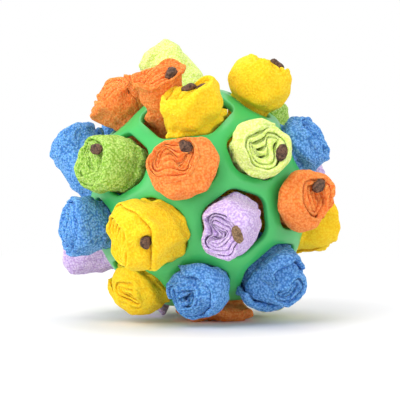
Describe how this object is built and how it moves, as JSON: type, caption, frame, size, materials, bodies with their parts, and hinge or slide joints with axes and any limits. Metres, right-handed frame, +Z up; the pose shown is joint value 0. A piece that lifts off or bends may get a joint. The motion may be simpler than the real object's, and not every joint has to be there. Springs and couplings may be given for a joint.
{
  "type": "snuffle ball toy",
  "caption": "Moulded rubber lattice ball with a rolled fleece strip tucked in each hole and dry treats in the rolls.",
  "frame": {"origin": "middle of the part's outline seen from above, at the height of the ground that it stands on", "axes": "+Z up; -Y is the front, the side that the picture shows; +X is to the right in the picture"},
  "size_m": [0.1534, 0.1578, 0.1537],
  "materials": {
    "fleece_blue": "matte",
    "fleece_green": "matte",
    "fleece_lavender": "matte",
    "fleece_lime": "matte",
    "fleece_orange": "matte",
    "fleece_yellow": "matte",
    "kibble_brown": "matte",
    "rubber_green": "satin"
  },
  "bodies": {
    "ball": {"rubber_ball": "rubber_green"},
    "roll_blue_bottom": {"roll_blue_bottom": "fleece_blue"},
    "roll_blue_bottom_right": {"roll_blue_bottom_right": "fleece_blue"},
    "roll_blue_left": {"roll_blue_left": "fleece_blue"},
    "roll_blue_left_back": {"roll_blue_left_back": "fleece_blue"},
    "roll_blue_right": {"roll_blue_right": "fleece_blue"},
    "roll_blue_right_back": {"roll_blue_right_back": "fleece_blue"},
    "roll_blue_top_left_back": {"roll_blue_top_left_back": "fleece_blue"},
    "roll_green_left": {"roll_green_left": "fleece_green"},
    "roll_green_left_back": {"roll_green_left_back": "fleece_green"},
    "roll_green_top_right_back": {"roll_green_top_right_back": "fleece_green"},
    "roll_lavender_bottom": {"roll_lavender_bottom": "fleece_lavender"},
    "roll_lavender_bottom_left": {"roll_lavender_bottom_left": "fleece_lavender"},
    "roll_lavender_front": {"roll_lavender_front": "fleece_lavender"},
    "roll_lavender_right_back": {"roll_lavender_right_back": "fleece_lavender"},
    "roll_lavender_top_back": {"roll_lavender_top_back": "fleece_lavender"},
    "roll_lime_back": {"roll_lime_back": "fleece_lime"},
    "roll_lime_bottom_back": {"roll_lime_bottom_back": "fleece_lime"},
    "roll_lime_right": {"roll_lime_right": "fleece_lime"},
    "roll_lime_top": {"roll_lime_top": "fleece_lime"},
    "roll_orange_back_bottom": {"roll_orange_back_bottom": "fleece_orange"},
    "roll_orange_bottom": {"roll_orange_bottom": "fleece_orange"},
    "roll_orange_front": {"roll_orange_front": "fleece_orange"},
    "roll_orange_left_back": {"roll_orange_left_back": "fleece_orange"},
    "roll_orange_right": {"roll_orange_right": "fleece_orange"},
    "roll_orange_top": {"roll_orange_top": "fleece_orange"},
    "roll_orange_top_left": {"roll_orange_top_left": "fleece_orange"},
    "roll_yellow_back_right": {"roll_yellow_back_right": "fleece_yellow"},
    "roll_yellow_bottom_left": {"roll_yellow_bottom_left": "fleece_yellow"},
    "roll_yellow_left": {"roll_yellow_left": "fleece_yellow"},
    "roll_yellow_left_back": {"roll_yellow_left_back": "fleece_yellow"},
    "roll_yellow_right": {"roll_yellow_right": "fleece_yellow"},
    "roll_yellow_top": {"roll_yellow_top": "fleece_yellow"},
    "roll_yellow_top_right": {"roll_yellow_top_right": "fleece_yellow"},
    "kibble_back_left": {"kibble_back_left": "kibble_brown"},
    "kibble_back_right": {"kibble_back_right": "kibble_brown"},
    "kibble_back_top": {"kibble_back_top": "kibble_brown"},
    "kibble_green_left": {"kibble_green_left": "kibble_brown"},
    "kibble_lavender_front": {"kibble_lavender_front": "kibble_brown"},
    "kibble_lime_right": {"kibble_lime_right": "kibble_brown"},
    "kibble_orange_front": {"kibble_orange_front": "kibble_brown"},
    "kibble_orange_right": {"kibble_orange_right": "kibble_brown"},
    "kibble_orange_top": {"kibble_orange_top": "kibble_brown"},
    "kibble_yellow_left": {"kibble_yellow_left": "kibble_brown"},
    "kibble_yellow_top_a": {"kibble_yellow_top_a": "kibble_brown"},
    "kibble_yellow_top_b": {"kibble_yellow_top_b": "kibble_brown"},
    "kibble_yellow_top_right": {"kibble_yellow_top_right": "kibble_brown"}
  },
  "joints": [
    {"name": "pull_blue_bottom", "type": "slide", "parent": "ball", "child": "roll_blue_bottom", "axis": [0.0218, -0.6875, -0.7259], "range_m": [0, 0.04]},
    {"name": "pull_blue_bottom_right", "type": "slide", "parent": "ball", "child": "roll_blue_bottom_right", "axis": [0.6132, -0.4538, -0.6466], "range_m": [0, 0.04]},
    {"name": "pull_blue_left", "type": "slide", "parent": "ball", "child": "roll_blue_left", "axis": [-0.8683, -0.4431, -0.223], "range_m": [0, 0.04]},
    {"name": "pull_blue_left_back", "type": "slide", "parent": "ball", "child": "roll_blue_left_back", "axis": [-0.9697, -0.0165, 0.2436], "range_m": [0, 0.04]},
    {"name": "pull_blue_right", "type": "slide", "parent": "ball", "child": "roll_blue_right", "axis": [0.8886, -0.1559, 0.4313], "range_m": [0, 0.04]},
    {"name": "pull_blue_right_back", "type": "slide", "parent": "ball", "child": "roll_blue_right_back", "axis": [0.6664, 0.66, -0.3467], "range_m": [0, 0.04]},
    {"name": "pull_blue_top_left_back", "type": "slide", "parent": "ball", "child": "roll_blue_top_left_back", "axis": [-0.6137, 0.4593, 0.6422], "range_m": [0, 0.04]},
    {"name": "pull_green_left", "type": "slide", "parent": "ball", "child": "roll_green_left", "axis": [-0.689, -0.654, 0.3125], "range_m": [0, 0.04]},
    {"name": "pull_green_left_back", "type": "slide", "parent": "ball", "child": "roll_green_left_back", "axis": [-0.4792, 0.746, -0.4624], "range_m": [0, 0.04]},
    {"name": "pull_green_top_right_back", "type": "slide", "parent": "ball", "child": "roll_green_top_right_back", "axis": [0.5347, 0.3731, 0.7582], "range_m": [0, 0.04]},
    {"name": "pull_lavender_bottom", "type": "slide", "parent": "ball", "child": "roll_lavender_bottom", "axis": [-0.4229, 0.2544, -0.8697], "range_m": [0, 0.04]},
    {"name": "pull_lavender_bottom_left", "type": "slide", "parent": "ball", "child": "roll_lavender_bottom_left", "axis": [-0.8855, 0.1598, -0.4363], "range_m": [0, 0.04]},
    {"name": "pull_lavender_front", "type": "slide", "parent": "ball", "child": "roll_lavender_front", "axis": [0.3127, -0.9256, -0.2134], "range_m": [0, 0.04]},
    {"name": "pull_lavender_right_back", "type": "slide", "parent": "ball", "child": "roll_lavender_right_back", "axis": [0.8682, 0.4438, 0.2218], "range_m": [0, 0.04]},
    {"name": "pull_lavender_top_back", "type": "slide", "parent": "ball", "child": "roll_lavender_top_back", "axis": [-0.0216, 0.6885, 0.725], "range_m": [0, 0.04]},
    {"name": "pull_lime_back", "type": "slide", "parent": "ball", "child": "roll_lime_back", "axis": [0.1002, 0.9536, -0.284], "range_m": [0, 0.04]},
    {"name": "pull_lime_bottom_back", "type": "slide", "parent": "ball", "child": "roll_lime_bottom_back", "axis": [0.6203, 0.1761, -0.7643], "range_m": [0, 0.04]},
    {"name": "pull_lime_right", "type": "slide", "parent": "ball", "child": "roll_lime_right", "axis": [0.5088, -0.7438, 0.4335], "range_m": [0, 0.04]},
    {"name": "pull_lime_top", "type": "slide", "parent": "ball", "child": "roll_lime_top", "axis": [-0.0883, 0.1488, 0.9849], "range_m": [0, 0.04]},
    {"name": "pull_orange_back_bottom", "type": "slide", "parent": "ball", "child": "roll_orange_back_bottom", "axis": [0.1248, 0.5806, -0.8046], "range_m": [0, 0.04]},
    {"name": "pull_orange_bottom", "type": "slide", "parent": "ball", "child": "roll_orange_bottom", "axis": [0.0919, -0.1078, -0.9899], "range_m": [0, 0.04]},
    {"name": "pull_orange_front", "type": "slide", "parent": "ball", "child": "roll_orange_front", "axis": [-0.0964, -0.9669, 0.2364], "range_m": [0, 0.04]},
    {"name": "pull_orange_left_back", "type": "slide", "parent": "ball", "child": "roll_orange_left_back", "axis": [-0.3109, 0.9276, 0.2069], "range_m": [0, 0.04]},
    {"name": "pull_orange_right", "type": "slide", "parent": "ball", "child": "roll_orange_right", "axis": [0.8201, -0.5698, -0.0524], "range_m": [0, 0.04]},
    {"name": "pull_orange_top", "type": "slide", "parent": "ball", "child": "roll_orange_top", "axis": [-0.1248, -0.5806, 0.8046], "range_m": [0, 0.04]},
    {"name": "pull_orange_top_left", "type": "slide", "parent": "ball", "child": "roll_orange_top_left", "axis": [-0.6496, -0.1399, 0.7473], "range_m": [0, 0.04]},
    {"name": "pull_yellow_back_right", "type": "slide", "parent": "ball", "child": "roll_yellow_back_right", "axis": [0.3971, 0.8745, 0.2784], "range_m": [0, 0.04]},
    {"name": "pull_yellow_bottom_left", "type": "slide", "parent": "ball", "child": "roll_yellow_bottom_left", "axis": [-0.5325, -0.3678, -0.7623], "range_m": [0, 0.04]},
    {"name": "pull_yellow_left", "type": "slide", "parent": "ball", "child": "roll_yellow_left", "axis": [-0.3972, -0.8723, -0.2851], "range_m": [0, 0.04]},
    {"name": "pull_yellow_left_back", "type": "slide", "parent": "ball", "child": "roll_yellow_left_back", "axis": [-0.8197, 0.5704, 0.0513], "range_m": [0, 0.04]},
    {"name": "pull_yellow_right", "type": "slide", "parent": "ball", "child": "roll_yellow_right", "axis": [0.9683, 0.0208, -0.2491], "range_m": [0, 0.04]},
    {"name": "pull_yellow_top", "type": "slide", "parent": "ball", "child": "roll_yellow_top", "axis": [-0.1248, -0.5806, 0.8046], "range_m": [0, 0.04]},
    {"name": "pull_yellow_top_right", "type": "slide", "parent": "ball", "child": "roll_yellow_top_right", "axis": [0.4601, -0.2232, 0.8594], "range_m": [0, 0.04]},
    {"name": "treat_out_back_left", "type": "slide", "parent": "roll_orange_left_back", "child": "kibble_back_left", "axis": [-0.4052, 0.8496, 0.3375], "range_m": [0, 0.012]},
    {"name": "treat_out_back_right", "type": "slide", "parent": "roll_yellow_back_right", "child": "kibble_back_right", "axis": [0.4983, 0.767, 0.4043], "range_m": [0, 0.012]},
    {"name": "treat_out_back_top", "type": "slide", "parent": "roll_lavender_top_back", "child": "kibble_back_top", "axis": [-0.0229, 0.7293, 0.6839], "range_m": [0, 0.012]},
    {"name": "treat_out_green_left", "type": "slide", "parent": "roll_green_left", "child": "kibble_green_left", "axis": [-0.7683, -0.6365, 0.0677], "range_m": [0, 0.012]},
    {"name": "treat_out_lavender_front", "type": "slide", "parent": "roll_lavender_front", "child": "kibble_lavender_front", "axis": [-0.3249, -0.9363, -0.1333], "range_m": [0, 0.012]},
    {"name": "treat_out_lime_right", "type": "slide", "parent": "roll_lime_right", "child": "kibble_lime_right", "axis": [0.0952, -0.995, 0.029], "range_m": [0, 0.012]},
    {"name": "treat_out_orange_front", "type": "slide", "parent": "roll_orange_front", "child": "kibble_orange_front", "axis": [-0.2529, -0.9235, 0.2885], "range_m": [0, 0.012]},
    {"name": "treat_out_orange_right", "type": "slide", "parent": "roll_orange_right", "child": "kibble_orange_right", "axis": [0.425, -0.9003, 0.094], "range_m": [0, 0.012]},
    {"name": "treat_out_orange_top", "type": "slide", "parent": "roll_orange_top", "child": "kibble_orange_top", "axis": [-0.2264, -0.5753, 0.786], "range_m": [0, 0.012]},
    {"name": "treat_out_yellow_left", "type": "slide", "parent": "roll_yellow_left", "child": "kibble_yellow_left", "axis": [0.8963, -0.4355, 0.0835], "range_m": [0, 0.012]},
    {"name": "treat_out_yellow_top_a", "type": "slide", "parent": "roll_yellow_top", "child": "kibble_yellow_top_a", "axis": [-0.2588, -0.3522, 0.8994], "range_m": [0, 0.012]},
    {"name": "treat_out_yellow_top_b", "type": "slide", "parent": "roll_yellow_top", "child": "kibble_yellow_top_b", "axis": [-0.2588, -0.3522, 0.8994], "range_m": [0, 0.012]},
    {"name": "treat_out_yellow_top_right", "type": "slide", "parent": "roll_yellow_top_right", "child": "kibble_yellow_top_right", "axis": [0.3318, -0.6426, 0.6906], "range_m": [0, 0.012]}
  ]
}
